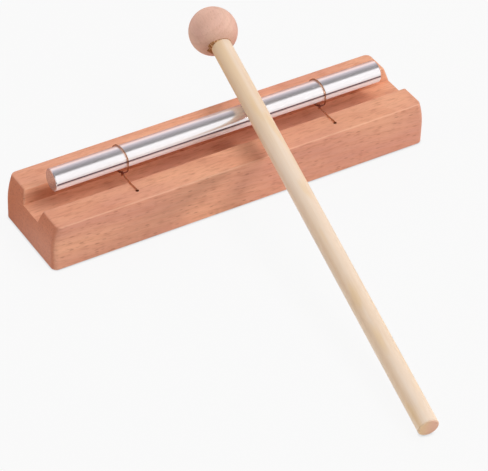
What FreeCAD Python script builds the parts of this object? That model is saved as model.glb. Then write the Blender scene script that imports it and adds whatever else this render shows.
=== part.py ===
import FreeCAD, Part
import Sketcher
import math
import os

# A hand chime at rest: a beech block with a groove along its top, an aluminium rod
# held over the groove by two monofilament cords, and a wooden mallet that leans on the rod.
# Millimetres. +X runs along the block, +Y away from the player, +Z up, and the origin is
# the middle of the block's underside.

os.makedirs("parts", exist_ok=True)
doc = FreeCAD.newDocument("HandChime")

sizes = doc.addObject("Spreadsheet::Sheet", "Sizes")
size_rows = [
    # beech block
    ("block_length", 204.0, "beech block, end to end"),
    ("block_width", 48.0, "front to back"),
    ("block_height", 24.5, "underside to the top of its ridges"),
    ("groove_mouth", 18.6, "groove width between the ridges' lips"),
    ("groove_floor", 13.6, "width of the groove's flat floor"),
    ("groove_depth", 7.0, "ridge top to groove floor"),
    ("end_upright", 9.8, "height up to which an end face stands upright"),
    ("end_draw", 2.6, "how far the end face is drawn in at its top"),
    ("corner_round", 3.0, "radius of the four upright corners"),
    ("edge_round", 1.1, "radius of every top edge, rim and groove lips"),
    ("foot_round", 0.8, "radius round the underside"),
    # cords and their holes
    ("cord_thickness", 0.7, "monofilament diameter"),
    ("cord_spacing", 108.4, "from one cord to the other, along the block"),
    ("hole_diameter", 1.8, "cord hole through the ridge"),
    ("hole_spacing", 33.4, "from the front hole to the back hole of one cord"),
    ("cord_inward", 0.3, "each end of a cord is drawn this far inward of its hole's middle"),
    ("recess_diameter", 6.0, "knot recess in the underside"),
    ("recess_depth", 4.0, "knot recess, measured up from the underside"),
    ("knot_diameter", 2.6, "stop knot at each end of a cord"),
    ("knot_tail", 1.0, "cut end that stands out of a knot"),
    ("cord_bend", 0.7, "radius of the cord's bend over a hole's rim"),
    ("seat_gap", 0.1, "running gap of a cord to what it lies on"),
    ("loop_lean", 2.4, "how far a loop leans along the rod on its way round"),
    ("strand_gap", 0.9, "from the first strand's middle to the second's, side by side"),
    ("hitch_rise", 0.95, "from the first strand up to the second where it crosses over"),
    ("hitch_bend", 0.9, "radius of the bend beyond that crossing"),
    ("loop_bend", 1.3, "radius of the bend ahead of that crossing"),
    # sounding rod
    ("rod_diameter", 11.0, "aluminium rod"),
    ("rod_length", 178.2, "aluminium rod, end to end"),
    ("rod_chamfer", 0.35, "chamfer round each end"),
    ("rod_back", 2.1, "the rod lies this far behind the groove's middle"),
    # mallet
    ("stick_diameter", 10.0, "birch dowel"),
    ("stick_chamfer", 0.4, "chamfer round the handle's end"),
    ("mallet_length", 263.6, "handle end to the far side of the head"),
    ("head_diameter", 24.0, "beech ball"),
    ("socket_depth", 15.0, "blind bore in the ball, from its mouth"),
    ("socket_gap", 0.05, "glue gap round the stick and at its end"),
    ("head_behind", 43.8, "middle of the ball behind the rod's axis"),
    ("head_right", 22.7, "middle of the ball right of the block's middle"),
    ("lean_gap", 0.3, "stick to rod where the mallet leans"),
    ("floor_gap", 0.05, "handle end to the surface below it"),
    # overrun of cutting sketches past the block
    ("overrun", 5.0, "cutting shapes reach this far past what they cut"),
]
for row, (alias, number, note) in enumerate(size_rows, start=1):
    sizes.set(f"A{row}", alias.replace("_", " "))
    sizes.set(f"B{row}", str(number))
    sizes.set(f"C{row}", note)
    sizes.setAlias(f"B{row}", alias)
sizes.recompute()

mallet_heading = 8.25   # degrees that the mallet points to the right of straight back


def size(alias):
    return float(getattr(sizes, alias))


def origin_plane(body, role):
    return next(item for item in body.Origin.OriginFeatures if item.Role == role)


def new_body(label):
    body = doc.addObject("PartDesign::Body", label)
    body.Label = label
    return body


def new_sketch(body, name, role):
    sketch = body.newObject("Sketcher::SketchObject", name)
    sketch.AttachmentSupport = (origin_plane(body, role), [""])
    sketch.MapMode = "FlatFace"
    return sketch


def outline(sketch, corners):
    """Closed run of lines through the corners, each joined to the next."""
    vectors = [FreeCAD.Vector(across, up, 0) for across, up in corners]
    count = len(vectors)
    for index in range(count):
        sketch.addGeometry(Part.LineSegment(vectors[index], vectors[(index + 1) % count]), False)
    for index in range(count):
        sketch.addConstraint(Sketcher.Constraint("Coincident", index, 2, (index + 1) % count, 1))


def dimension(sketch, name, expression, kind, *places):
    """A driving dimension of the sketch, bound to an expression of the sheet."""
    datum = float(sketch.evalExpression(expression))
    index = sketch.addConstraint(Sketcher.Constraint(kind, *places, datum))
    sketch.renameConstraint(index, name)
    sketch.setExpression(f"Constraints.{name}", expression)


def edges_where(feature, test):
    """Names of the feature's edges whose middle point and direction pass the test."""
    names = []
    for index, edge in enumerate(feature.Shape.Edges, start=1):
        middle = edge.valueAt((edge.FirstParameter + edge.LastParameter) / 2)
        if edge.Length > 0 and test(edge, middle):
            names.append(f"Edge{index}")
    return names


def finish_edges(body, kind, name, test, expression):
    """Rounds or chamfers the edges that pass the test; kind is Fillet or Chamfer."""
    base = body.Tip
    feature = body.newObject(f"PartDesign::{kind}", name)
    feature.Base = (base, edges_where(base, test))
    feature.setExpression("Radius" if kind == "Fillet" else "Size", expression)
    doc.recompute()


def lies_at(value, place):
    """True within a hundredth of a millimetre."""
    return round(value - place, 2) == 0


# Block: section drawn across it and padded to both sides.
block = new_body("block")
section = new_sketch(block, "BlockSection", "YZ_Plane")
half_width = size("block_width") / 2
half_mouth = size("groove_mouth") / 2
half_floor = size("groove_floor") / 2
ridge_top = size("block_height")
floor_height = ridge_top - size("groove_depth")
outline(section, [(-half_width, 0), (half_width, 0), (half_width, ridge_top), (half_mouth, ridge_top),
                  (half_floor, floor_height), (-half_floor, floor_height), (-half_mouth, ridge_top),
                  (-half_width, ridge_top)])
for first, second in ((0, 1), (2, 7), (3, 6), (4, 5)):
    section.addConstraint(Sketcher.Constraint("Symmetric", first, 1, second, 1, -2))
section.addConstraint(Sketcher.Constraint("PointOnObject", 0, 1, -1))
section.addConstraint(Sketcher.Constraint("Vertical", 1))
section.addConstraint(Sketcher.Constraint("Horizontal", 2))
dimension(section, "Width", "Sizes.block_width", "DistanceX", 0, 1, 1, 1)
dimension(section, "Height", "Sizes.block_height", "DistanceY", 1, 1, 2, 1)
dimension(section, "Mouth", "Sizes.groove_mouth", "DistanceX", 6, 1, 3, 1)
dimension(section, "Floor", "Sizes.groove_floor", "DistanceX", 5, 1, 4, 1)
dimension(section, "Depth", "Sizes.groove_depth", "DistanceY", 4, 1, 3, 1)
bar = block.newObject("PartDesign::Pad", "BlockBar")
bar.Profile = section
bar.SideType = "Symmetric"
bar.setExpression("Length", "Sizes.block_length")
doc.recompute()

# The end faces stand upright below and are drawn in above by one arc that leaves the upright
# part smoothly; the piece outside that arc is cut off one end and mirrored to the other.
end_sketch = new_sketch(block, "EndSketch", "XZ_Plane")
half_length = size("block_length") / 2
arc_height = ridge_top - size("end_upright")
arc_radius = (arc_height ** 2 + size("end_draw") ** 2) / (2 * size("end_draw"))
arc_angle = math.asin(arc_height / arc_radius)
arc_middle = FreeCAD.Vector(half_length - arc_radius, size("end_upright"), 0)
arc_circle = Part.Circle(arc_middle, FreeCAD.Vector(0, 0, 1), arc_radius)
top_inner = FreeCAD.Vector(half_length - size("end_draw"), ridge_top, 0)
top_above = top_inner + FreeCAD.Vector(0, size("overrun"), 0)
far_above = FreeCAD.Vector(half_length + size("overrun"), top_above.y, 0)
far_below = FreeCAD.Vector(far_above.x, size("end_upright"), 0)
foot = FreeCAD.Vector(half_length, size("end_upright"), 0)
end_sketch.addGeometry(Part.ArcOfCircle(arc_circle, 0, arc_angle), False)
for start, end in ((top_inner, top_above), (top_above, far_above), (far_above, far_below), (far_below, foot)):
    end_sketch.addGeometry(Part.LineSegment(start, end), False)
for first, first_end, second, second_end in ((0, 2, 1, 1), (1, 2, 2, 1), (2, 2, 3, 1), (3, 2, 4, 1), (4, 2, 0, 1)):
    end_sketch.addConstraint(Sketcher.Constraint("Coincident", first, first_end, second, second_end))
end_sketch.addConstraint(Sketcher.Constraint("Horizontal", 0, 3, 0, 1))
end_sketch.addConstraint(Sketcher.Constraint("Vertical", 1))
end_sketch.addConstraint(Sketcher.Constraint("Horizontal", 2))
end_sketch.addConstraint(Sketcher.Constraint("Vertical", 3))
end_sketch.addConstraint(Sketcher.Constraint("Horizontal", 4))
dimension(end_sketch, "HalfLength", "Sizes.block_length / 2", "DistanceX", -1, 1, 0, 1)
dimension(end_sketch, "Upright", "Sizes.end_upright", "DistanceY", -1, 1, 0, 1)
dimension(end_sketch, "Draw", "Sizes.end_draw", "DistanceX", 0, 2, 0, 1)
dimension(end_sketch, "Top", "Sizes.block_height", "DistanceY", -1, 1, 0, 2)
dimension(end_sketch, "Above", "Sizes.overrun", "DistanceY", 1, 1, 1, 2)
dimension(end_sketch, "Beyond", "Sizes.overrun", "DistanceX", 0, 1, 3, 2)
end_cut = block.newObject("PartDesign::Pocket", "EndCut")
end_cut.Profile = end_sketch
end_cut.SideType = "Symmetric"
end_cut.setExpression("Length", "Sizes.block_width + 2 * Sizes.overrun")
doc.recompute()
both_ends = block.newObject("PartDesign::Mirrored", "BothEnds")
both_ends.Originals = [end_cut]
both_ends.MirrorPlane = (origin_plane(block, "YZ_Plane"), [""])
block.Tip = both_ends
doc.recompute()


def at_corner(edge, middle):
    return lies_at(abs(middle.y), half_width) and abs(middle.x) > half_length / 2 and 0 < middle.z < ridge_top


def on_lip(edge, middle):
    return lies_at(abs(middle.y), half_mouth) and lies_at(middle.z, ridge_top)


def on_rim(edge, middle):
    return lies_at(middle.z, ridge_top) and \
        (lies_at(abs(middle.y), half_width) or abs(middle.x) > half_length / 2)


def on_foot(edge, middle):
    return lies_at(middle.z, 0)


finish_edges(block, "Fillet", "CornerRounds", at_corner, "Sizes.corner_round")
finish_edges(block, "Fillet", "LipRounds", on_lip, "Sizes.edge_round")
finish_edges(block, "Fillet", "FootRounds", on_foot, "Sizes.foot_round")
finish_edges(block, "Fillet", "RimRounds", on_rim, "Sizes.edge_round")

# Cord holes: one through each ridge per cord, each opening into a knot recess in the underside.
hole_x = size("cord_spacing") / 2
hole_y = size("hole_spacing") / 2
hole_sketch = new_sketch(block, "HoleSketch", "XY_Plane")
for index, (sign_x, sign_y) in enumerate(((-1, -1), (1, -1), (1, 1), (-1, 1))):
    centre = FreeCAD.Vector(sign_x * hole_x, sign_y * hole_y, 0)
    hole_sketch.addGeometry(Part.Circle(centre, FreeCAD.Vector(0, 0, 1), size("hole_diameter") / 2), False)
for index in range(1, 4):
    hole_sketch.addConstraint(Sketcher.Constraint("Equal", 0, index))
hole_sketch.addConstraint(Sketcher.Constraint("Symmetric", 0, 3, 2, 3, -1, 1))
hole_sketch.addConstraint(Sketcher.Constraint("Symmetric", 0, 3, 1, 3, -2))
hole_sketch.addConstraint(Sketcher.Constraint("Symmetric", 0, 3, 3, 3, -1))
dimension(hole_sketch, "Bore", "Sizes.hole_diameter", "Diameter", 0)
dimension(hole_sketch, "Along", "Sizes.cord_spacing", "DistanceX", 0, 3, 1, 3)
dimension(hole_sketch, "Across", "Sizes.hole_spacing", "DistanceY", 1, 3, 2, 3)
doc.recompute()
cord_holes = block.newObject("PartDesign::Hole", "CordHoles")
cord_holes.Profile = hole_sketch
cord_holes.Reversed = True
cord_holes.ThreadType = "None"
cord_holes.DepthType = "ThroughAll"
cord_holes.HoleCutType = "Counterbore"
cord_holes.HoleCutCustomValues = True
cord_holes.setExpression("Diameter", "Sizes.hole_diameter")
cord_holes.setExpression("HoleCutDiameter", "Sizes.recess_diameter")
cord_holes.setExpression("HoleCutDepth", "Sizes.recess_depth")
doc.recompute()

# Sounding rod: a plain round bar along X with chamfered ends, carried on the cords so that
# its underside clears the ridges.
cord_radius = size("cord_thickness") / 2
rod_radius = size("rod_diameter") / 2
strand_height = ridge_top + size("seat_gap") + cord_radius
loop_radius = rod_radius + size("seat_gap") + cord_radius
rod_height = strand_height + loop_radius
rod = new_body("chime_rod")
rod_sketch = new_sketch(rod, "RodSketch", "YZ_Plane")
rod_sketch.addGeometry(Part.Circle(FreeCAD.Vector(0, 0, 0), FreeCAD.Vector(0, 0, 1), rod_radius), False)
rod_sketch.addConstraint(Sketcher.Constraint("Coincident", 0, 3, -1, 1))
dimension(rod_sketch, "Thickness", "Sizes.rod_diameter", "Diameter", 0)
rod_bar = rod.newObject("PartDesign::Pad", "RodBar")
rod_bar.Profile = rod_sketch
rod_bar.SideType = "Symmetric"
rod_bar.setExpression("Length", "Sizes.rod_length")
doc.recompute()
finish_edges(rod, "Chamfer", "RodChamfers", lambda edge, middle: edge.Curve.TypeId == "Part::GeomCircle",
             "Sizes.rod_chamfer")
rod.Placement = FreeCAD.Placement(FreeCAD.Vector(0, size("rod_back"), rod_height), FreeCAD.Rotation())


def tube_path(stations):
    """Straight runs between the stations, each inner station turned by an arc of its own radius.

    A station is a point and the radius of its arc; the first and last have none.
    """
    edges = []
    start = stations[0][0]
    for index in range(1, len(stations) - 1):
        corner, radius = stations[index]
        into = (corner - stations[index - 1][0]).normalize()
        out = (stations[index + 1][0] - corner).normalize()
        turn = into.getAngle(out)
        reach = radius * math.tan(turn / 2)
        arc_start = corner - into * reach
        arc_end = corner + out * reach
        bisector = (out - into).normalize()
        arc_centre = corner + bisector * (radius / math.cos(turn / 2))
        arc_through = arc_centre - bisector * radius
        edges.append(Part.LineSegment(start, arc_start).toShape())
        edges.append(Part.Arc(arc_start, arc_through, arc_end).toShape())
        start = arc_end
    edges.append(Part.LineSegment(start, stations[-1][0]).toShape())
    return Part.Wire(edges)


# Cord: one length of monofilament, seen here with its holes on x = 0. It rises from its front
# stop knot through the ridge, runs level to the rod, goes once round the rod, leans along the rod
# as it comes down the front, crosses over its own first strand and goes on beside that strand,
# under the rod, to the back hole and its second stop knot.
loop_corners = 6          # corners of the loop, each an eighth of a turn
loop_arc_share = 0.9      # radius of the loop's arcs as a share of the loop's own
easy_bend_share = 6       # radius of the cord's slight bends as a share of its thickness
eighth_turn = math.radians(45)
knot_height = size("recess_depth") - size("seat_gap") - size("knot_diameter") / 2
tail_height = knot_height - size("knot_diameter") / 2 - size("knot_tail")
rod_y = size("rod_back")
cord_y = hole_y - size("cord_inward")
loop_front = rod_y - loop_radius
hitch_height = strand_height + size("hitch_rise")
beside = -size("strand_gap")
easy_bend = easy_bend_share * size("cord_thickness")
point = FreeCAD.Vector

stations = [(point(0, -cord_y, tail_height), 0),
            (point(0, -cord_y, strand_height), size("cord_bend"))]
corner_reach = loop_radius / math.cos(eighth_turn / 2)
for index in range(loop_corners):
    angle = eighth_turn * (index + 1 / 2) - math.radians(90)
    lean = size("loop_lean") * (index / (loop_corners - 1)) ** 2
    corner = point(lean, rod_y + corner_reach * math.cos(angle), rod_height + corner_reach * math.sin(angle))
    stations.append((corner, loop_arc_share * loop_radius))
stations += [(point(size("loop_lean"), loop_front, hitch_height), size("loop_bend")),
             (point(beside, loop_front + size("cord_thickness"), hitch_height), size("hitch_bend")),
             (point(beside, (loop_front + rod_y) / 2, strand_height), easy_bend),
             (point(beside, half_mouth, strand_height), easy_bend),
             (point(0, cord_y, strand_height), size("cord_bend")),
             (point(0, cord_y, tail_height), 0)]

cord_route = tube_path(stations)
cord_end = Part.Wire([Part.Circle(stations[0][0], point(0, 0, 1), cord_radius).toShape()])
cord_tube = cord_route.makePipeShell([cord_end], True, False)
cord_section = math.pi * cord_radius ** 2
print("cord length", round(cord_route.Length, 2), "tube volume over section times length",
      round(cord_tube.Volume / (cord_section * cord_route.Length), 5))
knots = [Part.makeSphere(size("knot_diameter") / 2, point(0, side * cord_y, knot_height)) for side in (-1, 1)]
cord_shape = cord_tube.multiFuse(knots).removeSplitter()
cords = []
for label, sign_x in (("cord_left", -1), ("cord_right", 1)):
    cord = doc.addObject("Part::Feature", label)
    cord.Label = label
    cord.Shape = cord_shape
    cord.Placement = FreeCAD.Placement(point(sign_x * hole_x, 0, 0), FreeCAD.Rotation())
    cords.append(cord)

# Mallet, drawn upright on the middle of its handle's end: a dowel glued into a bored ball.
head_radius = size("head_diameter") / 2
stick_radius = size("stick_diameter") / 2
head_height = size("mallet_length") - head_radius
socket_radius = stick_radius + size("socket_gap")
mouth_drop = math.sqrt(head_radius ** 2 - socket_radius ** 2)
socket_top = head_height - mouth_drop + size("socket_depth")

stick = new_body("mallet_stick")
stick_sketch = new_sketch(stick, "StickSketch", "XY_Plane")
stick_sketch.addGeometry(Part.Circle(point(0, 0, 0), point(0, 0, 1), stick_radius), False)
stick_sketch.addConstraint(Sketcher.Constraint("Coincident", 0, 3, -1, 1))
dimension(stick_sketch, "Thickness", "Sizes.stick_diameter", "Diameter", 0)
dowel = stick.newObject("PartDesign::Pad", "Dowel")
dowel.Profile = stick_sketch
dowel.setExpression("Length", "Sizes.mallet_length - Sizes.head_diameter / 2"
                    " - sqrt((Sizes.head_diameter / 2)^2 - (Sizes.stick_diameter / 2 + Sizes.socket_gap)^2)"
                    " + Sizes.socket_depth - Sizes.socket_gap")
doc.recompute()
finish_edges(stick, "Chamfer", "HandleChamfer", lambda edge, middle: lies_at(middle.z, 0), "Sizes.stick_chamfer")

head = new_body("mallet_head")
head_sketch = new_sketch(head, "HeadSketch", "XZ_Plane")
ball_circle = Part.Circle(point(0, head_height, 0), point(0, 0, 1), head_radius)
mouth_angle = -math.acos(socket_radius / head_radius)
ball_top = point(0, head_height + head_radius, 0)
mouth = point(socket_radius, head_height - mouth_drop, 0)
socket_corner = point(socket_radius, socket_top, 0)
socket_middle = point(0, socket_top, 0)
head_sketch.addGeometry(Part.ArcOfCircle(ball_circle, mouth_angle, math.radians(90)), False)
for start, end in ((ball_top, socket_middle), (socket_middle, socket_corner), (socket_corner, mouth)):
    head_sketch.addGeometry(Part.LineSegment(start, end), False)
for first, first_end, second, second_end in ((0, 2, 1, 1), (1, 2, 2, 1), (2, 2, 3, 1), (3, 2, 0, 1)):
    head_sketch.addConstraint(Sketcher.Constraint("Coincident", first, first_end, second, second_end))
head_sketch.addConstraint(Sketcher.Constraint("PointOnObject", 0, 3, -2))
head_sketch.addConstraint(Sketcher.Constraint("PointOnObject", 1, 1, -2))
head_sketch.addConstraint(Sketcher.Constraint("PointOnObject", 1, 2, -2))
head_sketch.addConstraint(Sketcher.Constraint("Horizontal", 2))
head_sketch.addConstraint(Sketcher.Constraint("Vertical", 3))
dimension(head_sketch, "Ball", "Sizes.head_diameter / 2", "Radius", 0)
dimension(head_sketch, "Top", "Sizes.mallet_length", "DistanceY", -1, 1, 1, 1)
dimension(head_sketch, "Socket", "Sizes.stick_diameter / 2 + Sizes.socket_gap", "DistanceX", 2, 1, 2, 2)
dimension(head_sketch, "Depth", "Sizes.socket_depth", "DistanceY", 3, 2, 3, 1)
ball = head.newObject("PartDesign::Revolution", "Ball")
ball.Profile = head_sketch
ball.ReferenceAxis = (head_sketch, ["V_Axis"])
doc.recompute()

# The mallet leans: its ball hangs behind the rod, its stick lies on the rod and the rim of its
# handle's end is on the ground in front. The stick's slope keeps both distances, and sets how
# high and how far in front of the rod the middle of the handle's end lies, so passes settle it.
slope = 0.0
slope_passes = 12
heading = math.radians(mallet_heading)
lean_reach = stick_radius + rod_radius + size("lean_gap")
for _ in range(slope_passes):
    handle_height = stick_radius * math.cos(slope) + size("floor_gap")
    reach = head_height * math.cos(slope)
    rise = rod_height - handle_height
    run = reach * math.cos(heading) - size("head_behind")
    slope_seen = math.atan2(rise, run) + math.asin(lean_reach / math.hypot(rise, run))
    slope = math.atan(math.tan(slope_seen) * math.cos(heading))
tip_over = FreeCAD.Rotation(point(-1, 0, 0), 90 - math.degrees(slope))
turn_right = FreeCAD.Rotation(point(0, 0, 1), -mallet_heading)
handle_place = point(size("head_right") - reach * math.sin(heading), rod_y - run, handle_height)
mallet_place = FreeCAD.Placement(handle_place, turn_right.multiply(tip_over))
stick.Placement = mallet_place
head.Placement = mallet_place
print("mallet slope", round(math.degrees(slope), 2), "rod axis height", round(rod_height, 3))

doc.recompute()
parts = [block, rod, *cords, stick, head]
for item in doc.Objects:
    if "Invalid" in item.State or "Error" in item.State:
        raise RuntimeError(f"{item.Label} failed to build")
for part in parts:
    if part.Shape.isNull() or not part.Shape.isValid() or len(part.Shape.Solids) != 1:
        raise RuntimeError(f"{part.Label} is not one valid solid")
for part in parts:
    part.Shape.exportStep(f"parts/{part.Label}.step")
    print(part.Label, round(part.Shape.Volume, 1))
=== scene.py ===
import math
import random

import bmesh
import bpy
from mathutils import Euler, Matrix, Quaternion, Vector


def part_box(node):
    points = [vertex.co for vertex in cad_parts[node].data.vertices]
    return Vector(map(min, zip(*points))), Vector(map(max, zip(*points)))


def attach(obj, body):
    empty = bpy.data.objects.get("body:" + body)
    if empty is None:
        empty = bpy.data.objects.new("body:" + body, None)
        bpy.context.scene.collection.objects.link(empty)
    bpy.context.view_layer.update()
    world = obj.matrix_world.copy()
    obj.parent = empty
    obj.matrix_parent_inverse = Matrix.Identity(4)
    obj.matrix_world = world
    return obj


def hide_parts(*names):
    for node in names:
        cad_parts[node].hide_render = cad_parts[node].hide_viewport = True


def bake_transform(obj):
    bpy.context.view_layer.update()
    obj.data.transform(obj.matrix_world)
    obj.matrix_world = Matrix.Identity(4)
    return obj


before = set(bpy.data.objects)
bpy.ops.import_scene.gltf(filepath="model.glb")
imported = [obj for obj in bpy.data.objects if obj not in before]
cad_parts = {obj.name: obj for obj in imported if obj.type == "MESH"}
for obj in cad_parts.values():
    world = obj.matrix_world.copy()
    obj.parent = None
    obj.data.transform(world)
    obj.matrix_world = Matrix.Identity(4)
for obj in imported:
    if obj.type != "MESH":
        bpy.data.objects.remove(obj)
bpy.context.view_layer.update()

print("frame loaded:", sorted(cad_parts))
mm = 0.001


def hexToLinear(colour):
    # "#E0A07F" as linear red, green, blue and full alpha
    parts = [int(colour[place:place + 2], 16) / 255 for place in (1, 3, 5)]
    return [part / 12.92 if part <= 0.04045 else ((part + 0.055) / 1.055) ** 2.4 for part in parts] + [1.0]


def addNode(tree, kind, links=None, **settings):
    # links maps an input's name or number to an output socket or to a plain value; a Mix has its factor
    # at 0, its numbers at 2 and 3 or its colours at 6 and 7, and a mixed colour leaves it at 2
    node = tree.nodes.new("ShaderNode" + kind)
    for name, value in settings.items():
        setattr(node, name, value)
    for socket, source in (links or {}).items():
        if isinstance(source, bpy.types.NodeSocket):
            tree.links.new(source, node.inputs[socket])
        else:
            node.inputs[socket].default_value = source
    return node


def newMaterial(name):
    material = bpy.data.materials.new(name)
    material.use_nodes = True
    tree = material.node_tree
    tree.nodes.clear()
    surface = addNode(tree, "BsdfPrincipled")
    addNode(tree, "OutputMaterial", {"Surface": surface.outputs[0]})
    return material, tree, surface


def dress(node, material):
    # the CAD node keeps its shape and takes the material
    node.data.materials.clear()
    node.data.materials.append(material)
    node.data.shade_smooth()


# Where things are, read from the frame
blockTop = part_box("block")[1].z
ballLow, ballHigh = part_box("mallet_head")
ballRadius = (ballHigh.x - ballLow.x) / 2
# the bore's mouth cuts the ball's near side, so its middle is measured from the far corner of its box
ballMiddle = ballHigh - Vector((ballRadius, ballRadius, ballRadius))
stickPoints = [corner.co.copy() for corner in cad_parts["mallet_stick"].data.vertices]
stickReach = max((place - ballMiddle).length for place in stickPoints)
rimSlack = 0.05 * mm
handleRim = [place for place in stickPoints if (place - ballMiddle).length > stickReach - rimSlack]
handleEnd = sum(handleRim, Vector()) / len(handleRim)
stickWay = (ballMiddle - handleEnd).normalized()
stickTurn = stickWay.to_track_quat("X", "Z").to_euler()
print("ball", ballMiddle, "handle end", handleEnd)

# Camera
photoView = {
    "azimuth": -32.242,     # degrees, seen from the front left
    "elevation": 39.227,
    "roll": 2.057,
    "distance": 1.22435,    # metres
    "aim": (-0.02817, -0.06939, 0.025),
    "focalLength": 199.18,  # millimetres
    "sensorWidth": 36,
    "clip": (0.05, 20),     # metres
}


def placeCamera(view):
    around, up = math.radians(view["azimuth"]), math.radians(view["elevation"])
    back = Vector((math.sin(around) * math.cos(up), -math.cos(around) * math.cos(up), math.sin(up)))
    data = bpy.data.cameras.new("photoCamera")
    data.lens = view["focalLength"]
    data.sensor_width = view["sensorWidth"]
    data.clip_start, data.clip_end = view["clip"]
    camera = bpy.data.objects.new("photoCamera", data)
    camera.location = Vector(view["aim"]) + back * view["distance"]
    camera.rotation_mode = "QUATERNION"
    roll = Quaternion((0, 0, 1), math.radians(view["roll"]))
    camera.rotation_quaternion = (-back).to_track_quat("-Z", "Y") @ roll
    bpy.context.scene.collection.objects.link(camera)
    bpy.context.scene.camera = camera


placeCamera(photoView)
print("camera placed")


# What the two woods share
def readGrain(tree, origin, turn):
    # places in the wood in millimetres from its origin, with X along the fibres, and how squarely a face
    # looks along them
    coordinates = addNode(tree, "TexCoord")
    grain = addNode(tree, "Mapping", {"Vector": coordinates.outputs["Object"], "Location": origin,
                                      "Rotation": turn, "Scale": (mm, mm, mm)},
                    vector_type="TEXTURE").outputs[0]
    fibreWay = Euler(turn).to_matrix() @ Vector((1, 0, 0))
    lean = addNode(tree, "VectorMath", {0: coordinates.outputs["Normal"], 1: fibreWay},
                   operation="DOT_PRODUCT").outputs["Value"]
    facing = addNode(tree, "Math", {0: lean}, operation="ABSOLUTE").outputs[0]
    return coordinates, grain, facing


def countFigure(tree, grain, wood, figure):
    # the same places, counted in lengths and widths of one figure of the wood
    length, width = wood[figure + "Length"], wood[figure + "Width"]
    return addNode(tree, "VectorMath", {0: grain, 1: (1 / length, 1 / width, 1 / width)},
                   operation="MULTIPLY").outputs[0]


def finishWood(tree, surface, wood, colour, fibre, height):
    # sanded bare: the fibres make it a little duller and a little shinier by turns
    shiny = wood["roughness"] - wood["roughnessSway"] / 2
    rough = addNode(tree, "Math", {0: fibre, 1: wood["roughnessSway"], 2: shiny},
                    operation="MULTIPLY_ADD").outputs[0]
    relief = addNode(tree, "Bump", {"Height": height, "Strength": wood["reliefStrength"],
                                    "Distance": wood["reliefDepth"] * mm})
    tree.links.new(colour, surface.inputs["Base Color"])
    tree.links.new(rough, surface.inputs["Roughness"])
    tree.links.new(relief.outputs[0], surface.inputs["Normal"])
    surface.inputs["IOR"].default_value = wood["ior"]


# Steamed beech, sawn and fine-sanded: a pinkish tan with hardly any rings, fine streaks and short dark
# ray flecks along the grain, and darker, mottled end grain. The satin of bare sanded wood.
blockBeech = {
    "slant": 4.0,           # degrees that the block's grain runs down to the right
    "light": "#EDAC89",
    "deep": "#DA967D",
    "swayLength": 70,       # millimetres, as all sizes here
    "swayWidth": 22,
    "toneLevels": (0.35, 0.65),     # the noise at which a tone starts and is full, as all levels here
    "late": "#D58B6A",
    "pith": (0, -34, -58),
    "wobble": 7.0,
    "ringWidth": 4.6,
    "lateFrom": 0.25,       # in parts of a ring
    "lateShare": 0.3,
    "fleck": "#AB6042",
    "fleckLength": 4.4,
    "fleckWidth": 1.25,     # real flecks are about 0.3 wide, drawn coarser to show
    "fleckRim": 0.42,       # from a fleck's middle, in parts of its size
    "fleckCore": 0.08,
    "fleckChance": (0.3, 0.9),      # which flecks start to show, and which are full
    "fleckShare": 0.66,
    "fleckSink": 0.8,       # how deep a fleck lies, beside the fibres
    "topFleckShare": 0.3,   # the flecks lie flat in the top and show on the sides
    "topFacing": (0.3, 0.9),        # how far a face looks up where the top starts and is full
    "streak": "#C0785A",
    "streakLength": 7,
    "streakWidth": 1.1,     # real streaks are bundles of finer ones, drawn coarser to show
    "streakLevels": (0.5, 0.74),
    "streakShare": 0.6,
    "fibreLength": 9,
    "fibreWidth": 0.42,     # real fibres are finer, drawn coarser to show
    "fibreLevels": (0.3, 0.7),
    "fibreShades": (0.95, 1.04),    # a dark fibre and a pale one, in parts of the colour
    "end": "#CB7852",
    "endPore": "#BE6C4C",
    "poreLength": 5,
    "poreWidth": 0.9,       # real pores are 0.1 wide, drawn coarser to show
    "poreLevels": (0.45, 0.7),
    "endFacing": (0.55, 0.97),      # how squarely a face cuts the grain where the end starts and is full
    "endShare": 0.85,
    "edge": "#F6C6A8",      # painted highlight along the long rounded edges
    "edgeFacing": (0.36, 0.46),     # of 0.5 for a face that looks half up and half outward
    "edgeShare": 0.34,
    "hole": "#7E3419",      # painted shade inside the drilled holes
    "holePlaces": (54.2, 16.7),     # x and y from the block's middle
    "holeRadius": 0.95,
    "holeRim": 0.1,         # over which the painted shade fades round the hole
    "holeDepths": (0.25, 0.6),      # under the block's top, where it starts and is full
    "roughness": 0.5,
    "roughnessSway": 0.12,
    "reliefDepth": 0.03,
    "reliefStrength": 0.6,
    "ior": 1.5,
}
# The same beech, turned and sanded: paler, with finer rings and smaller flecks.
ballBeech = dict(blockBeech, light="#ECC6B0", deep="#E1AD9E", late="#D8A790", streak="#D5A38A",
                 fleck="#BA7A5F", end="#D6AB96", endPore="#CB9C85", ringWidth=2.6, pith=(0, -9, -16),
                 wobble=1.5, fleckLength=2.2, fleckWidth=0.9, fleckShare=0.3, streakShare=0.4,
                 topFleckShare=1, edgeShare=0, roughness=0.55, holePlaces=None)


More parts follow.
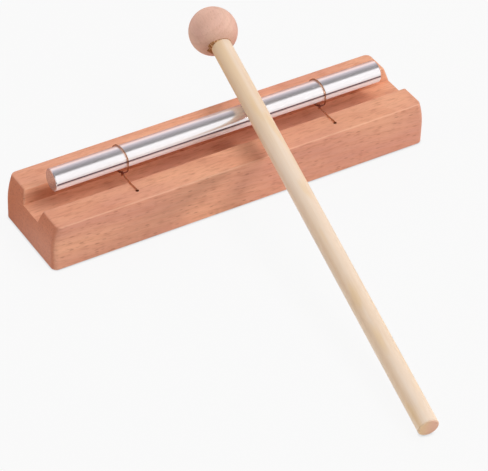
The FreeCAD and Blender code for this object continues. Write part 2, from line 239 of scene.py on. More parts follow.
def makeBeech(name, wood, origin, turn):
    material, tree, surface = newMaterial(name)
    coordinates, grain, facing = readGrain(tree, origin, turn)
    normal = addNode(tree, "SeparateXYZ", {0: coordinates.outputs["Normal"]})

    # rings round the pith, which sway a little
    sway = addNode(tree, "TexNoise", {"Vector": countFigure(tree, grain, wood, "sway"), "Scale": 1,
                                      "Detail": 2}).outputs[0]
    fromPith = addNode(tree, "VectorMath", {0: grain, 1: wood["pith"]}, operation="SUBTRACT").outputs[0]
    across = addNode(tree, "VectorMath", {0: fromPith, 1: (0, 1, 1)}, operation="MULTIPLY").outputs[0]
    reach = addNode(tree, "VectorMath", {0: across}, operation="LENGTH").outputs["Value"]
    swayed = addNode(tree, "Math", {0: sway, 1: wood["wobble"], 2: reach},
                     operation="MULTIPLY_ADD").outputs[0]
    count = addNode(tree, "Math", {0: swayed, 1: wood["ringWidth"]}, operation="DIVIDE").outputs[0]
    season = addNode(tree, "Math", {0: count}, operation="FRACT").outputs[0]
    late = addNode(tree, "MapRange", {"Value": season, "From Min": wood["lateFrom"],
                                      "To Max": wood["lateShare"]},
                   interpolation_type="SMOOTHSTEP").outputs[0]

    # flecks, of which only some show
    cells = addNode(tree, "TexVoronoi", {"Vector": countFigure(tree, grain, wood, "fleck"), "Scale": 1,
                                         "Randomness": 1})
    spot = addNode(tree, "MapRange", {"Value": cells.outputs["Distance"], "From Min": wood["fleckRim"],
                                      "From Max": wood["fleckCore"]},
                   interpolation_type="SMOOTHSTEP").outputs[0]
    chance = addNode(tree, "SeparateColor", {0: cells.outputs["Color"]}).outputs[0]
    start, full = wood["fleckChance"]
    chosen = addNode(tree, "MapRange", {"Value": chance, "From Min": start, "From Max": full}).outputs[0]
    fleck = addNode(tree, "Math", {0: spot, 1: chosen}, operation="MULTIPLY").outputs[0]

    # streaks, fibres and the pores of the end grain
    bundle = addNode(tree, "TexNoise", {"Vector": countFigure(tree, grain, wood, "streak"), "Scale": 1,
                                        "Detail": 3, "Roughness": 0.6}).outputs[0]
    start, full = wood["streakLevels"]
    streak = addNode(tree, "MapRange", {"Value": bundle, "From Min": start, "From Max": full,
                                        "To Max": wood["streakShare"]}).outputs[0]
    fibre = addNode(tree, "TexNoise", {"Vector": countFigure(tree, grain, wood, "fibre"), "Scale": 1,
                                       "Detail": 3}).outputs[0]
    pore = addNode(tree, "TexNoise", {"Vector": countFigure(tree, grain, wood, "pore"), "Scale": 1,
                                      "Detail": 2}).outputs[0]
    start, full = wood["poreLevels"]
    pored = addNode(tree, "MapRange", {"Value": pore, "From Min": start, "From Max": full}).outputs[0]

    # the colours of the long faces and of the ends
    start, full = wood["toneLevels"]
    tone = addNode(tree, "MapRange", {"Value": sway, "From Min": start, "From Max": full}).outputs[0]
    body = addNode(tree, "Mix", {0: tone, 6: hexToLinear(wood["light"]), 7: hexToLinear(wood["deep"])},
                   data_type="RGBA").outputs[2]
    ringed = addNode(tree, "Mix", {0: late, 6: body, 7: hexToLinear(wood["late"])},
                     data_type="RGBA").outputs[2]
    streaked = addNode(tree, "Mix", {0: streak, 6: ringed, 7: hexToLinear(wood["streak"])},
                       data_type="RGBA").outputs[2]
    sawn = addNode(tree, "Mix", {0: pored, 6: hexToLinear(wood["end"]), 7: hexToLinear(wood["endPore"])},
                   data_type="RGBA").outputs[2]
    start, full = wood["endFacing"]
    endGrain = addNode(tree, "MapRange", {"Value": facing, "From Min": start, "From Max": full,
                                          "To Max": wood["endShare"]},
                       interpolation_type="SMOOTHSTEP").outputs[0]
    ended = addNode(tree, "Mix", {0: endGrain, 6: streaked, 7: sawn}, data_type="RGBA").outputs[2]

    start, full = wood["topFacing"]
    fleckShare = addNode(tree, "MapRange", {"Value": normal.outputs["Z"], "From Min": start,
                                            "From Max": full, "To Min": wood["fleckShare"],
                                            "To Max": wood["fleckShare"] * wood["topFleckShare"]}).outputs[0]
    fleckStrength = addNode(tree, "Math", {0: fleck, 1: fleckShare}, operation="MULTIPLY").outputs[0]
    flecked = addNode(tree, "Mix", {0: fleckStrength, 6: ended, 7: hexToLinear(wood["fleck"])},
                      data_type="RGBA").outputs[2]
    # painted highlight: the long rounded edges, which look half up and half outward, are made paler
    slant = addNode(tree, "Math", {0: normal.outputs["Y"], 1: normal.outputs["Z"]},
                    operation="MULTIPLY").outputs[0]
    slanted = addNode(tree, "Math", {0: slant}, operation="ABSOLUTE").outputs[0]
    start, full = wood["edgeFacing"]
    edge = addNode(tree, "MapRange", {"Value": slanted, "From Min": start, "From Max": full,
                                      "To Max": wood["edgeShare"]}).outputs[0]
    edged = addNode(tree, "Mix", {0: edge, 6: flecked, 7: hexToLinear(wood["edge"])},
                    data_type="RGBA").outputs[2]
    start, full = wood["fibreLevels"]
    darkest, palest = wood["fibreShades"]
    shade = addNode(tree, "MapRange", {"Value": fibre, "From Min": start, "From Max": full,
                                       "To Min": darkest, "To Max": palest}).outputs[0]
    colour = addNode(tree, "VectorMath", {0: edged, 3: shade}, operation="SCALE").outputs[0]

    if wood["holePlaces"]:
        # painted shade inside one corner's hole, mirrored to the other three
        mirrored = addNode(tree, "VectorMath", {0: coordinates.outputs["Object"]},
                           operation="ABSOLUTE").outputs[0]
        holeMiddle = [place * mm for place in wood["holePlaces"]] + [0]
        fromHole = addNode(tree, "VectorMath", {0: mirrored, 1: holeMiddle}, operation="SUBTRACT").outputs[0]
        flat = addNode(tree, "VectorMath", {0: fromHole, 1: (1, 1, 0)}, operation="MULTIPLY").outputs[0]
        away = addNode(tree, "VectorMath", {0: flat}, operation="LENGTH").outputs["Value"]
        outside = (wood["holeRadius"] + wood["holeRim"]) * mm
        drilled = addNode(tree, "MapRange", {"Value": away, "From Min": outside,
                                             "From Max": wood["holeRadius"] * mm}).outputs[0]
        height = addNode(tree, "SeparateXYZ", {0: coordinates.outputs["Object"]}).outputs["Z"]
        start, full = wood["holeDepths"]
        inside = addNode(tree, "MapRange", {"Value": height, "From Min": blockTop - start * mm,
                                            "From Max": blockTop - full * mm}).outputs[0]
        paintedHoleShade = addNode(tree, "Math", {0: drilled, 1: inside}, operation="MULTIPLY").outputs[0]
        colour = addNode(tree, "Mix", {0: paintedHoleShade, 6: colour, 7: hexToLinear(wood["hole"])},
                         data_type="RGBA").outputs[2]
    grainHeight = addNode(tree, "Math", {0: fleck, 1: -wood["fleckSink"], 2: fibre},
                          operation="MULTIPLY_ADD").outputs[0]
    finishWood(tree, surface, wood, colour, fibre, grainHeight)
    return material


# Birch dowel, planed and sanded, bare: cream with faint long fibres and hardly any figure,
# tan and duller on its sawn end.
stickBirch = {
    "light": "#F1DCC7",
    "deep": "#E8CAA9",
    "bandLength": 110,      # millimetres, as all sizes here
    "bandWidth": 3.2,
    "bandLevels": (0.3, 0.72),      # the noise at which a tone starts and is full, as all levels here
    "fleck": "#D6AE88",
    "fibreLength": 30,
    "fibreWidth": 0.5,      # real fibres are finer, drawn coarser to show
    "fibreLevels": (0.6, 0.8),
    "fibreShare": 0.5,
    "patch": "#EBC894",     # yellower places, a few millimetres wide
    "patchLength": 22,
    "patchWidth": 5,
    "patchLevels": (0.54, 0.74),
    "patchShare": 0.45,
    "paintedYellowShade": "#EFCB98",    # painted shade: a yellower tone on the left side, which faces away from the lamps, up to the ball
    "yellowShare": 0.45,
    "yellowSpan": (150, 225),       # from the handle's end
    "yellowWay": (-0.97, 0.14, 0.2),
    "yellowFacing": (-0.05, 0.55),  # how far a face looks that way where the painted shade starts and is full
    "end": "#D9A88D",
    "endPatch": "#D9B58C",  # the end is tan where it was sawn through last
    "endPatchSpan": (-2.5, 4),      # across the end
    "endFacing": (0.5, 0.9),        # how squarely a face cuts the grain where the end starts and is full
    "roughness": 0.5,
    "roughnessSway": 0.14,
    "reliefDepth": 0.02,
    "reliefStrength": 0.5,
    "ior": 1.5,
}


def makeBirch(name, wood, origin, turn):
    material, tree, surface = newMaterial(name)
    coordinates, grain, facing = readGrain(tree, origin, turn)
    place = addNode(tree, "SeparateXYZ", {0: grain})

    band = addNode(tree, "TexNoise", {"Vector": countFigure(tree, grain, wood, "band"), "Scale": 1,
                                      "Detail": 2}).outputs[0]
    start, full = wood["bandLevels"]
    tone = addNode(tree, "MapRange", {"Value": band, "From Min": start, "From Max": full}).outputs[0]
    body = addNode(tree, "Mix", {0: tone, 6: hexToLinear(wood["light"]), 7: hexToLinear(wood["deep"])},
                   data_type="RGBA").outputs[2]
    fibre = addNode(tree, "TexNoise", {"Vector": countFigure(tree, grain, wood, "fibre"), "Scale": 1,
                                       "Detail": 3}).outputs[0]
    start, full = wood["fibreLevels"]
    dark = addNode(tree, "MapRange", {"Value": fibre, "From Min": start, "From Max": full,
                                      "To Max": wood["fibreShare"]}).outputs[0]
    streaked = addNode(tree, "Mix", {0: dark, 6: body, 7: hexToLinear(wood["fleck"])},
                       data_type="RGBA").outputs[2]
    cloud = addNode(tree, "TexNoise", {"Vector": countFigure(tree, grain, wood, "patch"), "Scale": 1,
                                       "Detail": 1}).outputs[0]
    start, full = wood["patchLevels"]
    patch = addNode(tree, "MapRange", {"Value": cloud, "From Min": start, "From Max": full,
                                       "To Max": wood["patchShare"]},
                    interpolation_type="SMOOTHSTEP").outputs[0]
    patched = addNode(tree, "Mix", {0: patch, 6: streaked, 7: hexToLinear(wood["patch"])},
                      data_type="RGBA").outputs[2]

    # painted shade: the yellower tone on the left side
    start, full = wood["yellowSpan"]
    along = addNode(tree, "MapRange", {"Value": place.outputs["X"], "From Min": start, "From Max": full,
                                       "To Max": wood["yellowShare"]}).outputs[0]
    leftward = addNode(tree, "VectorMath", {0: coordinates.outputs["Normal"], 1: wood["yellowWay"]},
                       operation="DOT_PRODUCT").outputs["Value"]
    start, full = wood["yellowFacing"]
    onLeft = addNode(tree, "MapRange", {"Value": leftward, "From Min": start, "From Max": full},
                     interpolation_type="SMOOTHSTEP").outputs[0]
    paintedYellowShade = addNode(tree, "Math", {0: along, 1: onLeft}, operation="MULTIPLY").outputs[0]
    paintedYellowShaded = addNode(tree, "Mix", {0: paintedYellowShade, 6: patched, 7: hexToLinear(wood["paintedYellowShade"])},
                       data_type="RGBA").outputs[2]

    # the sawn end
    start, full = wood["endPatchSpan"]
    half = addNode(tree, "MapRange", {"Value": place.outputs["Y"], "From Min": start, "From Max": full},
                   interpolation_type="SMOOTHSTEP").outputs[0]
    sawn = addNode(tree, "Mix", {0: half, 6: hexToLinear(wood["end"]), 7: hexToLinear(wood["endPatch"])},
                   data_type="RGBA").outputs[2]
    start, full = wood["endFacing"]
    endGrain = addNode(tree, "MapRange", {"Value": facing, "From Min": start, "From Max": full},
                       interpolation_type="SMOOTHSTEP").outputs[0]
    colour = addNode(tree, "Mix", {0: endGrain, 6: paintedYellowShaded, 7: sawn}, data_type="RGBA").outputs[2]
    finishWood(tree, surface, wood, colour, fibre, fibre)
    return material


# Aluminium bar, drawn and then polished: clear mirror bands under the pale haze of its thin oxide, fine
# soft lines, one painted grey line along the front that stands for a dark reflection, an underside painted
# paler and more matte for the pale reflection seen there, and cut ends that are smooth but darker.
rodAluminium = {
    "colour": "#F4F2F4",
    "smooth": 0.08,
    "rough": 0.17,
    "lineLength": 60,       # millimetres
    "lineWidth": 0.3,       # real polishing lines are finer, drawn coarser to show
    "lineLevels": (0.35, 0.65),     # the noise at which the metal turns from smooth to rough
    "hazeColour": "#F6F0F2",
    "hazeShare": 0.3,
    # painted reflection: the underside is paler and more matte, standing for the pale reflection seen there
    "paintedUndersideColour": "#FFFCFF",
    "paintedUndersideShare": 0.94,
    "paintedUndersideFade": 0.25,      # from the painted line down, in parts of the bar's radius
    # painted reflection: a grey line along the front of the bar, standing for a dark strip that it mirrors
    "paintedLineColour": "#626480",
    "paintedLine": 0.08,       # height of the painted line, in parts of the bar's radius above its middle
    "paintedLineWidth": 0.11,
    "paintedLineCore": 0.25,   # the part of its width that is full grey
    "frontFacing": (-0.8, -0.9),    # it shows on the front only
    "endColour": "#D2C3BA",
    "endRoughness": 0.24,
    "endShare": 0.12,
    "endFacing": (0.4, 0.9),
}


def makeAluminium(metal):
    material, tree, surface = newMaterial("polishedAluminium")
    coordinates = addNode(tree, "TexCoord")
    normal = addNode(tree, "SeparateXYZ", {0: coordinates.outputs["Normal"]})
    lineSize = (1 / metal["lineLength"] / mm, 1 / metal["lineWidth"] / mm, 1 / metal["lineWidth"] / mm)
    lineGrid = addNode(tree, "VectorMath", {0: coordinates.outputs["Object"], 1: lineSize},
                       operation="MULTIPLY").outputs[0]
    line = addNode(tree, "TexNoise", {"Vector": lineGrid, "Scale": 1, "Detail": 2}).outputs[0]
    start, full = metal["lineLevels"]
    side = addNode(tree, "MapRange", {"Value": line, "From Min": start, "From Max": full,
                                      "To Min": metal["smooth"], "To Max": metal["rough"]}).outputs[0]
    facing = addNode(tree, "Math", {0: normal.outputs["X"]}, operation="ABSOLUTE").outputs[0]
    start, full = metal["endFacing"]
    end = addNode(tree, "MapRange", {"Value": facing, "From Min": start, "From Max": full}).outputs[0]
    rough = addNode(tree, "Mix", {0: end, 2: side, 3: metal["endRoughness"]}).outputs[0]

    # painted reflection: a grey line along the front, and a paler, more matte underside below it
    aboveLine = addNode(tree, "Math", {0: normal.outputs["Z"], 1: metal["paintedLine"]},
                        operation="SUBTRACT").outputs[0]
    fromLine = addNode(tree, "Math", {0: aboveLine}, operation="ABSOLUTE").outputs[0]
    core = metal["paintedLineWidth"] * metal["paintedLineCore"]
    inLine = addNode(tree, "MapRange", {"Value": fromLine, "From Min": metal["paintedLineWidth"],
                                        "From Max": core}, interpolation_type="SMOOTHSTEP").outputs[0]
    start, full = metal["frontFacing"]
    front = addNode(tree, "MapRange", {"Value": normal.outputs["Y"], "From Min": start,
                                       "From Max": full}).outputs[0]
    paintedLineMask = addNode(tree, "Math", {0: inLine, 1: front}, operation="MULTIPLY").outputs[0]
    paintedUnderside = addNode(tree, "MapRange", {"Value": aboveLine, "From Min": 0, "From Max": -metal["paintedUndersideFade"]},
                    interpolation_type="SMOOTHSTEP").outputs[0]

    colour = addNode(tree, "Mix", {0: end, 6: hexToLinear(metal["colour"]),
                                   7: hexToLinear(metal["endColour"])}, data_type="RGBA").outputs[2]
    paintedLined = addNode(tree, "Mix", {0: paintedLineMask, 6: colour, 7: hexToLinear(metal["paintedLineColour"])},
                    data_type="RGBA").outputs[2]
    hazeColour = addNode(tree, "Mix", {0: paintedUnderside, 6: hexToLinear(metal["hazeColour"]),
                                       7: hexToLinear(metal["paintedUndersideColour"])}, data_type="RGBA").outputs[2]
    paintedLinedHaze = addNode(tree, "Mix", {0: paintedLineMask, 6: hazeColour, 7: hexToLinear(metal["paintedLineColour"])},
                        data_type="RGBA").outputs[2]
    sideShare = addNode(tree, "Mix", {0: paintedUnderside, 2: metal["hazeShare"], 3: metal["paintedUndersideShare"]}).outputs[0]
    share = addNode(tree, "Mix", {0: end, 2: sideShare, 3: metal["endShare"]}).outputs[0]
    haze = addNode(tree, "BsdfPrincipled", {"Base Color": paintedLinedHaze, "Roughness": 1})
    both = addNode(tree, "MixShader", {0: share, 1: surface.outputs[0], 2: haze.outputs[0]})
    tree.links.new(both.outputs[0], tree.nodes["Material Output"].inputs["Surface"])
    tree.links.new(paintedLined, surface.inputs["Base Color"])
    tree.links.new(rough, surface.inputs["Roughness"])
    surface.inputs["Metallic"].default_value = 1
    return material


# Nylon monofilament, drawn: an amber line that lets most of what lies behind it shine through.
cordNylon = {
    "colour": "#DDA67C",
    "darkTone": "#C48960",
    "toneLength": 3.0,      # millimetres, as all sizes here
    "roughness": 0.2,
    "transmission": 0.88,
    "ior": 1.53,
    "hitchShadeTone": "#7C2A10",         # painted shade: the hitch, where two turns lie over each other in front of the rod, is darker
    "hitchTransmission": 0.3,
    "hitchFrom": 25.4,      # height of the hitch
    "hitchTo": 27.6,
    "hitchLowFade": 0.3,
    "hitchTopFade": 1.4,
    "loopTone": "#C89D80",  # painted reflection: the loop is greyer where it lies against the bright metal
    "loopFade": 1.5,
}


def makeMonofilament(nylon):
    material, tree, surface = newMaterial("nylonMonofilament")
    coordinates = addNode(tree, "TexCoord")
    grid = addNode(tree, "VectorMath", {0: coordinates.outputs["Object"], 3: 1 / nylon["toneLength"] / mm},
                   operation="SCALE").outputs[0]
    cloud = addNode(tree, "TexNoise", {"Vector": grid, "Scale": 1, "Detail": 2}).outputs[0]
    colour = addNode(tree, "Mix", {0: cloud, 6: hexToLinear(nylon["colour"]),
                                   7: hexToLinear(nylon["darkTone"])}, data_type="RGBA").outputs[2]
    height = addNode(tree, "SeparateXYZ", {0: coordinates.outputs["Object"]}).outputs["Z"]
    # painted shade on the hitch in front of the rod: darker and less clear
    low, lowFade = nylon["hitchFrom"], nylon["hitchLowFade"]
    top, topFade = nylon["hitchTo"], nylon["hitchTopFade"]
    aboveStrand = addNode(tree, "MapRange", {"Value": height, "From Min": low * mm,
                                             "From Max": (low + lowFade) * mm}).outputs[0]
    belowLoop = addNode(tree, "MapRange", {"Value": height, "From Min": top * mm,
                                           "From Max": (top - topFade) * mm}).outputs[0]
    hitched = addNode(tree, "Math", {0: aboveStrand, 1: belowLoop}, operation="MULTIPLY").outputs[0]
    # painted reflection: a greyer tone on the loop against the bright metal
    inLoop = addNode(tree, "MapRange", {"Value": height, "From Min": top * mm,
                                        "From Max": (top + nylon["loopFade"]) * mm}).outputs[0]
    looped = addNode(tree, "Mix", {0: inLoop, 6: colour, 7: hexToLinear(nylon["loopTone"])},
                     data_type="RGBA").outputs[2]
    deepened = addNode(tree, "Mix", {0: hitched, 6: looped, 7: hexToLinear(nylon["hitchShadeTone"])},
                       data_type="RGBA").outputs[2]
    clear = addNode(tree, "MapRange", {"Value": hitched, "To Min": nylon["transmission"],
                                       "To Max": nylon["hitchTransmission"]}).outputs[0]
    tree.links.new(deepened, surface.inputs["Base Color"])
    tree.links.new(clear, surface.inputs["Transmission Weight"])
    surface.inputs["Roughness"].default_value = nylon["roughness"]
    surface.inputs["IOR"].default_value = nylon["ior"]
    return material


beechOfBlock = makeBeech("steamedBeech", blockBeech, (0, 0, 0), (0, math.radians(blockBeech["slant"]), 0))
beechOfBall = makeBeech("turnedBeech", ballBeech, ballMiddle, stickTurn)
birch = makeBirch("sandedBirch", stickBirch, handleEnd, stickTurn)
aluminium = makeAluminium(rodAluminium)
monofilament = makeMonofilament(cordNylon)
dress(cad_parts["block"], beechOfBlock)
dress(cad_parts["mallet_head"], beechOfBall)
dress(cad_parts["mallet_stick"], birch)
dress(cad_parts["chime_rod"], aluminium)
print("materials made")

# Cords: each one runs from a stop knot under the block up through the near hole, back along the
# block and round the rod, hitches on itself in front of the rod and goes back under it to the far hole.
# Points of its NURBS line, in millimetres: x from the cord's own middle, then y and z.
cordShape = {
    "thickness": 0.7,
    "spacing": 108.4,
    "knotSpacing": 32.8,    # each cord end stands 0.3 inward of its hole's middle
    "knot": [(2.0, 0.1, 1.7), (1.9, 0.1, 2.8), (1.4, 0.25, 3.4), (0.75, 0.4, 2.8), (0, -0.4, 1.7),
             (-0.75, -0.3, 1.15), (-1.05, 0, 1.65), (-0.72, 0.4, 2.75), (0, 0, 3.25), (0.72, -0.4, 2.75),
             (1.05, 0, 1.65), (0.75, 0.3, 1.15), (0, 0.4, 1.7), (-0.75, -0.4, 2.8), (-0.7, -0.3, 3.35),
             (0, 0, 3.8), (0, 0, 5.2)],
    "front": [(0, -16.4, 12), (0, -16.4, 22.6), (0, -16.4, 24.3), (0, -16.1, 24.95), (-0.1, -14.9, 24.95),
              (-0.4, -9.5, 24.95), (-0.3, -4.2, 24.95), (-0.1, 0.6, 24.95), (0, 4.565, 24.95),
              (0.096, 8.05, 28.436), (0.384, 8.05, 33.364), (0.864, 4.565, 36.85), (1.536, -0.365, 36.85),
              (2.4, -3.85, 33.364), (2.4, -3.85, 28.6), (2.3, -3.85, 26.3), (1.5, -3.8, 25.95),
              (0.3, -3.7, 26.0), (-0.85, -3.5, 25.7), (-1.0, -3.3, 24.8), (-0.4, -3.2, 24.2),
              (0.35, -3.0, 24.5), (0.45, -2.8, 25.3), (0, -2.6, 25.85), (-0.8, -2.3, 25.6),
              (-0.9, -1.0, 25.0)],
    "back": [(-0.88, -1.9, 25.35), (-0.9, -0.6, 24.95), (-0.9, 3.8, 24.95), (-0.86, 9.3, 24.95),
             (-0.1, 14.9, 24.95), (0, 16.1, 24.95), (0, 16.4, 24.3), (0, 16.4, 22.6), (0, 16.4, 12)],
}


def makeTube(name, points, thickness):
    curve = bpy.data.curves.new(name, "CURVE")
    curve.dimensions = "3D"
    curve.bevel_depth = thickness / 2
    curve.bevel_resolution = 3
    curve.use_fill_caps = True
    curve.resolution_u = 6
    spline = curve.splines.new("NURBS")
    spline.points.add(len(points) - 1)
    for point, place in zip(spline.points, points):
        point.co = (*place, 1)
    spline.order_u = 3
    spline.use_endpoint_u = True
    paintedLineMask = bpy.data.objects.new(name + "Line", curve)
    bpy.context.scene.collection.objects.link(paintedLineMask)
    mesh = bpy.data.meshes.new_from_object(paintedLineMask.evaluated_get(bpy.context.evaluated_depsgraph_get()))
    bpy.data.objects.remove(paintedLineMask)
    tube = bpy.data.objects.new(name, mesh)
    bpy.context.scene.collection.objects.link(tube)
    mesh.shade_smooth()
    return tube


def makeCord(side, shape, material):
    middle = Vector((side * shape["spacing"] / 2, 0, 0))
    hole = Vector((0, shape["knotSpacing"] / 2, 0))
    knot = [Vector(place) for place in shape["knot"]]
    frontPoints = [middle - hole + place for place in knot]
    frontPoints += [middle + Vector(place) for place in shape["front"]]
    backPoints = [middle + Vector(place) for place in shape["back"]]
    backPoints += [middle + hole + place for place in reversed(knot)]
    word = "left" if side < 0 else "right"
    for name, points, sign in (("Front", frontPoints, -1), ("Back", backPoints, 1)):
        tube = makeTube(word + "Cord" + name, [place * mm for place in points], shape["thickness"] * mm)
        tube.data.materials.append(material)
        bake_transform(tube)
        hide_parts("cord_" + word)


makeCord(-1, cordShape, monofilament)
makeCord(1, cordShape, monofilament)
print("cords tied")

# Wood glue, squeezed out on one side where the stick enters the ball, and dried to a thin amber smear
# with small bubbles. Elsewhere it fills the corner by a hair.
glueRim = {
    "colour": "#A26B3A",
    "bubble": "#E4BC90",
    "bubbleSize": 0.9,      # millimetres, as all sizes here
    "bubbleLevels": (0.52, 0.64),   # the noise at which a bubble starts and is full
    "roughness": 0.35,
    "stickRadius": 5,
    "thin": (0.3, 0.05),    # how far it reaches over the ball, and its height
    "thick": (2.0, 0.22),
    "outset": 0.4,          # how far its cross-section's middle lies from the stick, in parts of the reach
    "way": (-0.985, 0.13, 0.06),    # the side of the smear
    "spread": 50,           # degrees round the stick
    "fallOff": 3,           # how sharply the smear ends
    "lumps": 0.4,
    "lumpCounts": (6, 9, 14),       # waves round the stick
    "seed": 5,
    "steps": 120,           # points round the stick
    "corners": 10,          # points round its cross-section
}


def makeGlueMesh(rim):
    random.seed(rim["seed"])
    waves = [(count, random.uniform(0, 2 * math.pi)) for count in rim["lumpCounts"]]
    turn = stickWay.to_track_quat("Z", "Y").to_matrix()
    smearWay = turn.transposed() @ Vector(rim["way"])
    smearAngle = math.atan2(smearWay.y, smearWay.x)
    stickRadius, outset, corners = rim["stickRadius"], rim["outset"], rim["corners"]
    entry = math.sqrt((ballRadius / mm) ** 2 - stickRadius ** 2)
    # over the ball's surface away from the stick, and straight out of that surface
    over = Vector((entry, stickRadius)) * mm / ballRadius
    outward = Vector((stickRadius, -entry)) * mm / ballRadius
    shape = bmesh.new()
    rings = []
    for step in range(rim["steps"]):
        around = 2 * math.pi * step / rim["steps"]
        apart = math.degrees(math.remainder(around - smearAngle, 2 * math.pi))
        share = math.exp(-abs(apart / rim["spread"]) ** rim["fallOff"])
        swell = rim["lumps"] * sum(math.sin(count * around + start) for count, start in waves)
        lump = 1 + swell / len(waves)
        reach, height = (low + (high - low) * share * lump for low, high in zip(rim["thin"], rim["thick"]))
        ring = []
        for corner in range(corners):
            lean = 2 * math.pi * corner / corners
            beyond = over * reach * (outset + (1 - outset) * math.cos(lean))
            place = beyond + outward * height * math.sin(lean)
            out, along = stickRadius + place.x, place.y - entry
            local = Vector((out * math.cos(around), out * math.sin(around), along)) * mm
            ring.append(shape.verts.new(ballMiddle + turn @ local))
        rings.append(ring)
    for step, ring in enumerate(rings):
        after = rings[(step + 1) % len(rings)]
        for corner in range(corners):
            beside = (corner + 1) % corners
            shape.faces.new((ring[corner], ring[beside], after[beside], after[corner]))
    bmesh.ops.recalc_face_normals(shape, faces=shape.faces)
    mesh = bpy.data.meshes.new("glueRim")
    shape.to_mesh(mesh)
    shape.free()
    mesh.shade_smooth()
    return mesh


def makeGlue(rim):
    material, tree, surface = newMaterial("driedWoodGlue")
    coordinates = addNode(tree, "TexCoord")
    grid = addNode(tree, "VectorMath", {0: coordinates.outputs["Object"], 3: 1 / rim["bubbleSize"] / mm},
                   operation="SCALE").outputs[0]
    cloud = addNode(tree, "TexNoise", {"Vector": grid, "Scale": 1, "Detail": 1}).outputs[0]
    start, full = rim["bubbleLevels"]
    bubble = addNode(tree, "MapRange", {"Value": cloud, "From Min": start, "From Max": full},
                     interpolation_type="SMOOTHSTEP").outputs[0]
    colour = addNode(tree, "Mix", {0: bubble, 6: hexToLinear(rim["colour"]), 7: hexToLinear(rim["bubble"])},
                     data_type="RGBA").outputs[2]
    tree.links.new(colour, surface.inputs["Base Color"])
    surface.inputs["Roughness"].default_value = rim["roughness"]
    return material


def makeGlueRim(rim):
    mesh = makeGlueMesh(rim)
    bead = bpy.data.objects.new("glueRim", mesh)
    bpy.context.scene.collection.objects.link(bead)
    mesh.materials.append(makeGlue(rim))
    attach(bead, "mallet")


makeGlueRim(glueRim)
print("glue rim made")

# Light, floor and surroundings
studio = {
    "background": 0.955,    # the pale grey-white round the object
    "backLight": 0.85,      # soft light from the wall behind
    "backLightHeights": (0.95, 0.55),   # sines of the heights where it starts and is full, 72 and 33 degrees
    "backLightSides": (-0.25, 0.25),    # and the same from front to back
    # what polished metal shows of the room, by degrees from straight up: the front is negative
    "mirrored": [(-95, "#FFFFFF"), (-34, "#FFFFFF"), (-20, "#363338"), (-3, "#27242A"), (11, "#6C6570"),
                 (24, "#968D98"), (36, "#BAAFB7"), (48, "#E8D8DB"), (60, "#FFE3DD"), (70, "#F3C6B9"),
                 (84, "#D79C88"), (95, "#C08471")],
    "mirroredStrength": 1.1,
    "floorHalf": 3,         # metres
    "floorColour": "#F4F3F2",
    "shadowShare": 0.04,    # how much of the real shading the floor shows to the camera
    "contactReach": 0.002,  # metres over which painted contact shade darkens the floor right beside the object
    "contactLevel": 0.55,
    "contactOpenness": (0.15, 0.75),    # from the darkest contact to the plain floor
    # what polished metal shows of the table: a dimmer strip in front of the block, and the warm light
    # off the wood behind it, in metres from the block's middle
    "darkColour": "#6F686B",
    "darkFrom": 0.04,
    "darkTo": 0.055,
    "paleFrom": 0.075,
    "paleTo": 0.11,
    "behindColour": "#A8705C",
    "behindTo": 0.03,
    "lampDistance": 2.2,
    # the way from the block to each lamp, its watts and the side of its square
    "lamps": [((0.48, -0.32, 0.82), 7.5, 0.7), ((0.51, -0.1, 0.85), 4.0, 0.7),
              ((0.40, -0.58, 0.71), 8.5, 0.7), ((0.22, 0.06, 0.97), 13.2, 1.0),
              ((-0.25, 0.1, 0.95), 5.6, 1.0), ((0.4, -0.9, 0.1), 12.7, 0.36),
              ((-0.4, -0.9, 0.1), 3.1, 0.36), ((-0.95, 0.12, 0.3), 5.1, 0.36)],
}


def makeSurroundings(room):
    world = bpy.data.worlds.new("studio")
    bpy.context.scene.world = world
    world.use_nodes = True
    tree = world.node_tree
    tree.nodes.clear()
    rays = addNode(tree, "LightPath")
    way = addNode(tree, "SeparateXYZ", {0: addNode(tree, "TexCoord").outputs["Generated"]})

    # the light on the object
    start, full = room["backLightHeights"]
    low = addNode(tree, "MapRange", {"Value": way.outputs["Z"], "From Min": start, "From Max": full},
                  interpolation_type="SMOOTHSTEP").outputs[0]
    start, full = room["backLightSides"]
    behind = addNode(tree, "MapRange", {"Value": way.outputs["Y"], "From Min": start, "From Max": full,
                                        "To Max": room["backLight"]},
                     interpolation_type="SMOOTHSTEP").outputs[0]
    level = addNode(tree, "Math", {0: low, 1: behind}, operation="MULTIPLY").outputs[0]
    grey = addNode(tree, "CombineColor", {0: level, 1: level, 2: level}).outputs[0]

    # what polished metal shows
    lean = addNode(tree, "Math", {0: way.outputs["Y"], 1: way.outputs["Z"]}, operation="ARCTAN2").outputs[0]
    place = addNode(tree, "MapRange", {"Value": lean, "From Min": -math.pi, "From Max": math.pi}).outputs[0]
    ramp = addNode(tree, "ValToRGB", {0: place})
    stops = ramp.color_ramp.elements
    for angle, colour in room["mirrored"]:
        stops.new((angle + 180) / 360).color = hexToLinear(colour)
    # a new ramp comes with a first and a last stop of its own
    stops.remove(stops[0])
    stops.remove(stops[len(stops) - 1])

    unlit = addNode(tree, "Mix", {0: rays.outputs["Is Glossy Ray"], 6: grey, 7: ramp.outputs[0]},
                    data_type="RGBA").outputs[2]
    shown = addNode(tree, "Mix", {0: rays.outputs["Is Camera Ray"], 6: unlit,
                                  7: [room["background"]] * 3 + [1]}, data_type="RGBA").outputs[2]
    bright = addNode(tree, "MapRange", {"Value": rays.outputs["Is Glossy Ray"], "To Min": 1,
                                        "To Max": room["mirroredStrength"]}).outputs[0]
    light = addNode(tree, "Background", {"Color": shown, "Strength": bright}).outputs[0]
    addNode(tree, "OutputWorld", {"Surface": light})


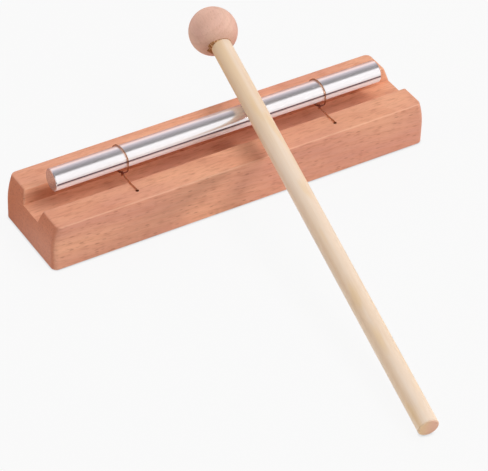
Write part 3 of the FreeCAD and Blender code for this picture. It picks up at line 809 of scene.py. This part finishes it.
def makePaper(room):
    # pale paper: even to the camera but for a painted contact shade and a little real shading, plain to the
    # light, and what metal mirrors of it is drawn apart
    material = bpy.data.materials.new("palePaper")
    material.use_nodes = True
    tree = material.node_tree
    tree.nodes.clear()
    rays = addNode(tree, "LightPath")
    paper = addNode(tree, "BsdfDiffuse", {"Color": hexToLinear(room["floorColour"])}).outputs[0]

    place = addNode(tree, "SeparateXYZ", {0: addNode(tree, "TexCoord").outputs["Object"]})
    dims = addNode(tree, "MapRange", {"Value": place.outputs["Y"], "From Min": -room["darkFrom"],
                                      "From Max": -room["darkTo"]},
                   interpolation_type="SMOOTHSTEP").outputs[0]
    clears = addNode(tree, "MapRange", {"Value": place.outputs["Y"], "From Min": -room["paleTo"],
                                        "From Max": -room["paleFrom"]},
                     interpolation_type="SMOOTHSTEP").outputs[0]
    dim = addNode(tree, "Math", {0: dims, 1: clears}, operation="MULTIPLY").outputs[0]
    inFront = addNode(tree, "Mix", {0: dim, 6: [room["background"]] * 3 + [1],
                                    7: hexToLinear(room["darkColour"])}, data_type="RGBA").outputs[2]
    behind = addNode(tree, "MapRange", {"Value": place.outputs["Y"],
                                        "From Max": room["behindTo"]}).outputs[0]
    mirrored = addNode(tree, "Mix", {0: behind, 6: inFront, 7: hexToLinear(room["behindColour"])},
                       data_type="RGBA").outputs[2]
    mirroredGlow = addNode(tree, "Emission", {"Color": mirrored}).outputs[0]

    # painted contact shade: the floor's even glow darkens where the object closes it in
    openness = addNode(tree, "AmbientOcclusion", {"Distance": room["contactReach"]}, samples=8).outputs["AO"]
    start, full = room["contactOpenness"]
    contact = addNode(tree, "MapRange", {"Value": openness, "From Min": start, "From Max": full,
                                         "To Min": room["contactLevel"],
                                         "To Max": room["background"]}).outputs[0]
    contactGrey = addNode(tree, "CombineColor", {0: contact, 1: contact, 2: contact}).outputs[0]
    glow = addNode(tree, "Emission", {"Color": contactGrey}).outputs[0]
    toCamera = addNode(tree, "MixShader", {0: room["shadowShare"], 1: glow, 2: paper}).outputs[0]
    toMetal = addNode(tree, "MixShader", {0: rays.outputs["Is Glossy Ray"], 1: paper,
                                          2: mirroredGlow}).outputs[0]
    toAll = addNode(tree, "MixShader", {0: rays.outputs["Is Camera Ray"], 1: toMetal,
                                        2: toCamera}).outputs[0]
    addNode(tree, "OutputMaterial", {"Surface": toAll})
    return material


def makeFloor(room):
    mesh = bpy.data.meshes.new("floor")
    half = room["floorHalf"]
    corners = [(-half, -half, 0), (half, -half, 0), (half, half, 0), (-half, half, 0)]
    mesh.from_pydata(corners, [], [(0, 1, 2, 3)])
    floor = bpy.data.objects.new("floor", mesh)
    mesh.materials.append(makePaper(room))
    bpy.context.scene.collection.objects.link(floor)


def makeLamps(room):
    for number, (way, watts, size) in enumerate(room["lamps"]):
        data = bpy.data.lights.new(f"softLamp{number}", "AREA")
        data.shape = "SQUARE"
        data.size = size
        data.energy = watts
        lamp = bpy.data.objects.new(data.name, data)
        toLamp = Vector(way).normalized()
        lamp.location = toLamp * room["lampDistance"]
        lamp.rotation_mode = "QUATERNION"
        lamp.rotation_quaternion = toLamp.to_track_quat("Z", "Y")
        lamp.visible_camera = False
        lamp.visible_glossy = False     # metal mirrors the room instead
        bpy.context.scene.collection.objects.link(lamp)


makeSurroundings(studio)
makeFloor(studio)
makeLamps(studio)
bpy.context.scene.view_settings.view_transform = "Standard"
print("studio made")
